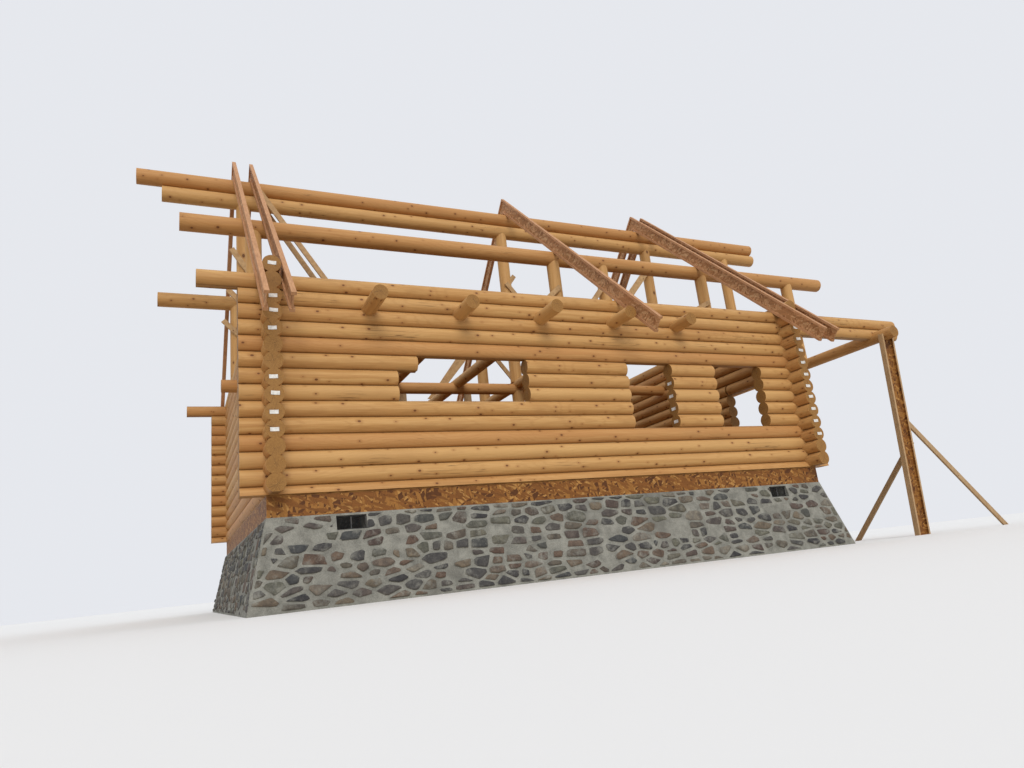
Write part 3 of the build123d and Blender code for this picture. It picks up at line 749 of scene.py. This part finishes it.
half = log_base + course / 2
for node, along, centre in (
    ("front_wall", 0, (0.0, log_base)),
    ("front_plate_logs", 0, (0.0, log_base)),
    ("back_wall", 0, (wall_depth, log_base)),
    ("back_plate_logs", 0, (wall_depth, log_base)),
    ("left_gable_wall", 1, (0.0, half)),
    ("right_gable_wall", 1, (wall_length, half)),
):
    dress(node, log_finish(node + "_wood", along, centre, course))

# Paper tags stapled to the log ends, each a small white label that has cockled in the weather.
# Rows are counted from the floor up.
tag_rows_left = (3, 4, 5, 6, 9, 10, 11, 13)
tag_rows_right = (2, 3, 4, 5, 6, 7, 8, 9, 10, 11)
tag_rows_back = (0, 2, 3, 5, 6, 8, 9, 10, 12, 13)
jamb_rows = (4, 5, 6, 7)
window_1_right = 5.950
paper = Finish("tag_paper")
stains = paper.noise(paper.place, 30.0, 3.0)
paper.done(paper.ramp(stains, (0.35, (0.60, 0.59, 0.56)), (0.65, (0.80, 0.80, 0.78))), 0.7)

tag = Pattern("paper_tag", Width=0.098, Height=0.046, Paper=0.0008, Curl=2.2)
sheet_size = tag.put(
    "ShaderNodeCombineXYZ",
    {"X": tag.given["Width"], "Y": tag.given["Height"], "Z": tag.given["Paper"]},
)
sheet = tag.put(
    "GeometryNodeMeshCube",
    {"Size": sheet_size, "Vertices X": 7, "Vertices Y": 2, "Vertices Z": 2},
)
spot = tag.put("ShaderNodeSeparateXYZ", {0: tag.put("GeometryNodeInputPosition", {})}, None)
lift = tag.value("MULTIPLY", tag.value("MULTIPLY", spot["X"], spot["X"]), tag.given["Curl"])
lifted = tag.put("ShaderNodeCombineXYZ", {"Z": tag.value("ADD", lift, tag.given["Paper"])})
curled = tag.put("GeometryNodeSetPosition", {"Geometry": sheet, "Offset": lifted})
turn = tag.put("FunctionNodeEulerToRotation", {0: tag.named("turn", "FLOAT_VECTOR")})
placed = tag.put(
    "GeometryNodeInstanceOnPoints",
    {"Points": tag.base, "Instance": curled, "Rotation": turn},
)
tag.end(placed, paper.material)

rng = random.Random(4)
tag_points = []
tag_turns = []
upright = math.radians(90)


def pin_tag(x, y, z, facing):
    """Staple a tag at a log end; facing is its turn about the upright, 0 to face the front."""
    tag_points.append((x + rng.uniform(-0.012, 0.012), y, z + rng.uniform(-0.012, 0.018)))
    tag_turns.extend((upright, rng.uniform(-0.09, 0.09), facing))


for wall_x, rows in ((0.0, tag_rows_left), (wall_length, tag_rows_right)):
    for row in rows:
        pin_tag(wall_x, -corner_overhang, log_base + (row + 0.5) * course, 0.0)
    for row in tag_rows_back:
        pin_tag(wall_x, wall_depth + corner_overhang, log_base + (row + 0.5) * course, math.radians(180))
for row in jamb_rows:
    tag_points.append((window_1_right, rng.uniform(-0.012, 0.012), log_base + row * course))
    tag_turns.extend((upright, 0.0, math.radians(-90)))
tag_mesh = bpy.data.meshes.new("log_tags")
tag_mesh.from_pydata(tag_points, [], [])
tag_mesh.attributes.new("turn", "FLOAT_VECTOR", "POINT").data.foreach_set("vector", tag_turns)
grow("log_tags", tag_mesh, tag)


def middle_of(node):
    """The middle of a CAD node's box."""
    low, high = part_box(node)
    return (low + high) / 2


# Girder, tie beams, ridge, purlins and porch log: single round logs of the same wood.
# Their ends stick out past the walls, sawn square and dry, with rings and radial splits.
for node in ("girder", "ridge_log_lower", "ridge_log_upper", "purlin_front", "purlin_back"):
    place = middle_of(node)
    dress(node, log_finish(node + "_wood", 0, (place.y, place.z)))
for node in ("tie_beam_1", "tie_beam_2", "tie_beam_3", "tie_beam_4", "tie_beam_5", "porch_log"):
    place = middle_of(node)
    dress(node, log_finish(node + "_wood", 1, (place.x, place.z)))


# Posts: peeled round timbers standing on the gable walls, tie beams and porch log,
# coped at both ends. They are the same wood with upright fibres.
def post_finish(name):
    """Peeled upright timber; each post draws its own tone from where it stands."""
    look = Finish(name)
    x, y = look.parts(look.place)[:2]
    column = look.math("ROUND", look.times(x, 0.5))
    rank = look.math("ROUND", look.times(y, 0.7))
    own = look.chance(look.vector(column, rank, 0.0))
    fine = look.noise(look.scaled(look.place, (110, 110, 2.5)), 1.0, 3.0, 0.6)
    broad = look.noise(look.scaled(look.place, (14, 14, 0.7)), 1.0, 3.0)
    tonal = look.sum(look.times(fine, 0.4), look.times(broad, 0.6))
    wood = look.ramp(tonal, (0.32, wood_shade), (0.48, wood_mid), (0.64, wood_pale))
    wood = look.mix(look.band(own, 0.0, 1.0, 0.0, 0.4), wood, wood_pale)
    knots = look.cells(look.scaled(look.place, (5.0, 5.0, 3.2)))
    size = look.sum(look.times(look.parts(knots["Color"])[0], 0.16), -0.04)
    from_knot = look.math("SUBTRACT", knots["Distance"], size)
    wood = look.mix(look.band(from_knot, 0.12, 0.0, 0.0, 0.5), wood, (0.260, 0.120, 0.042))
    wood = look.mix(look.band(from_knot, 0.015, -0.010, 0.0, 0.9), wood, knot_brown)
    look.bump(look.sum(fine, broad), 0.0012, 0.5)
    return look.done(wood, look.band(fine, 0.3, 0.7, 0.52, 0.68))


for node in ("ridge_posts", "front_purlin_posts", "back_purlin_posts", "girder_post"):
    dress(node, post_finish(node + "_wood"))


# Sawn boards: the bracing between the posts, the props under the girder and the porch braces.
# They are planed softwood with close straight grain and small knots.
def board_finish(name, pale, dark, scale):
    """Planed softwood; scale is how finely its fibres run along each axis."""
    look = Finish(name)
    fibres = look.noise(look.scaled(look.place, scale), 1.0, 4.0, 0.65)
    patches = look.noise(look.place, 2.3, 2.0)
    wood = look.ramp(fibres, (0.30, dark), (0.62, pale))
    wood = look.mix(look.band(patches, 0.4, 0.7, 0.0, 0.35), wood, (0.36, 0.21, 0.10))
    knots = look.cells(look.place, 5.0)
    wood = look.mix(look.band(knots["Distance"], 0.09, 0.045, 0.0, 0.85), wood, knot_brown)
    look.bump(fibres, 0.0008, 0.5)
    return look.done(wood, look.band(fibres, 0.3, 0.7, 0.6, 0.75))


for node in ("ridge_braces", "front_purlin_braces", "back_purlin_braces"):
    dress(node, board_finish(node + "_boards", (0.52, 0.345, 0.170), (0.35, 0.205, 0.092), (14, 60, 14)))
for node in ("girder_props", "porch_braces_front", "porch_braces_back"):
    dress(node, board_finish(node + "_boards", (0.48, 0.335, 0.185), (0.31, 0.195, 0.100), (60, 60, 8)))

# Rafters: I-joists with a plumb cut where the pairs meet at the ridge.
# Two pairs straddle the logs of each gable wall and one stands beside the middle ridge post.
post_radius = 0.115
half_flange = 0.0295
rafter_gap = 0.004
beside_log = log_radius + half_flange + rafter_gap
beside_post = middle_of("tie_beam_4").x + post_radius + half_flange + rafter_gap
rafter_lines = (-beside_log, beside_log, beside_post, wall_length - beside_log, wall_length + beside_log)
rafter_grain = (60, 10, 10)
dress("rafters_front", joist_finish("front_rafter_wood", 0, rafter_lines, rafter_grain))
dress("rafters_back", joist_finish("back_rafter_wood", 0, rafter_lines, rafter_grain))

# Porch props: deeper I-joists that lean in under the porch log's ends.
# Their webs face the front, so the strand board shows between the two flanges.
prop_depth = 0.302
prop_flange = 0.038
for node in ("porch_prop_front", "porch_prop_back"):
    low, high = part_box(node)
    look = Finish(node + "_wood")
    x, y, z = look.parts(look.place)
    foot_x = high.x - prop_depth / 2
    head_x = low.x + prop_depth / 2
    web_x = look.band(z, 0.0, high.z, foot_x, head_x)
    from_web = look.math("ABSOLUTE", look.math("SUBTRACT", x, web_x))
    web = look.math("LESS_THAN", from_web, prop_depth / 2 - prop_flange)
    colour, height = strands(look, 1, rim_tones)
    fibres = look.noise(look.scaled(look.place, (60, 60, 7)), 1.0, 4.0, 0.65)
    flange = look.ramp(fibres, (0.30, (0.340, 0.215, 0.110)), (0.64, (0.520, 0.350, 0.190)))
    look.bump(look.sum(fibres, look.times(web, height)), 0.0009, 0.5)
    dress(node, look.done(look.mix(web, flange, colour), 0.66))

# Floor and light: a pale level floor, a soft sky and one broad lamp from the front left.
# The floor is pale to the eye, but the light that it gives back is dimmer and warmer.
floor_reach = 150
floor_corners = [(x * floor_reach, y * floor_reach, 0) for x, y in ((-1, -1), (1, -1), (1, 1), (-1, 1))]
floor_mesh = bpy.data.meshes.new("floor")
floor_mesh.from_pydata(floor_corners, [], [(0, 1, 2, 3)])
floor = bpy.data.objects.new("floor", floor_mesh)
bpy.context.scene.collection.objects.link(floor)
ground = Finish("studio_floor")
seen = ground.tree.nodes.new("ShaderNodeLightPath")
direct = ground.math("MAXIMUM", seen.outputs["Is Camera Ray"], seen.outputs["Is Glossy Ray"])
direct = ground.math("MAXIMUM", direct, seen.outputs["Is Transmission Ray"])
floor_bounce = (0.52, 0.46, 0.38)
floor_seen = (0.78, 0.78, 0.77)
floor_mesh.materials.append(ground.done(ground.mix(direct, floor_bounce, floor_seen), 0.9))
floor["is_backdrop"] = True

world = bpy.data.worlds.new("studio")
bpy.context.scene.world = world
world.use_nodes = True
sky = world.node_tree.nodes["Background"]
sky.inputs["Color"].default_value = (0.93, 0.95, 1.0, 1)
sky.inputs["Strength"].default_value = 0.85
sun = bpy.data.lights.new("key", "SUN")
sun.energy = 1.6
sun.angle = 0.5
sun.color = (1.0, 0.96, 0.90)
key = bpy.data.objects.new("key", sun)
key.rotation_euler = (math.radians(56), 0, math.radians(-10))
bpy.context.scene.collection.objects.link(key)

# Camera at the photograph's place: close to the ground, off the front left corner, tipped a little.
# The lens is given by its focal length in the photograph's own pixels.
image_width = 1024
focal_pixels = 702.88
camera_data = bpy.data.cameras.new("camera")
camera_data.sensor_width = 36
camera_data.lens = camera_data.sensor_width * focal_pixels / image_width
camera = bpy.data.objects.new("camera", camera_data)
bpy.context.scene.collection.objects.link(camera)
yaw = math.radians(26.399)
pitch = math.radians(14.584)
roll = math.radians(-6.31)
ahead = Vector((math.sin(yaw) * math.cos(pitch), math.cos(yaw) * math.cos(pitch), math.sin(pitch)))
right = Vector((math.cos(yaw), -math.sin(yaw), 0))
up = right.cross(ahead)
tipped_right = right * math.cos(roll) + up * math.sin(roll)
tipped_up = up * math.cos(roll) - right * math.sin(roll)
facing = Matrix((tipped_right, tipped_up, -ahead)).transposed().to_4x4()
camera_place = Vector((-1.01, -8.504, log_base - 1.091))
camera.matrix_world = Matrix.Translation(camera_place) @ facing
bpy.context.scene.camera = camera

bpy.context.scene.view_settings.view_transform = "Standard"
low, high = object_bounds()
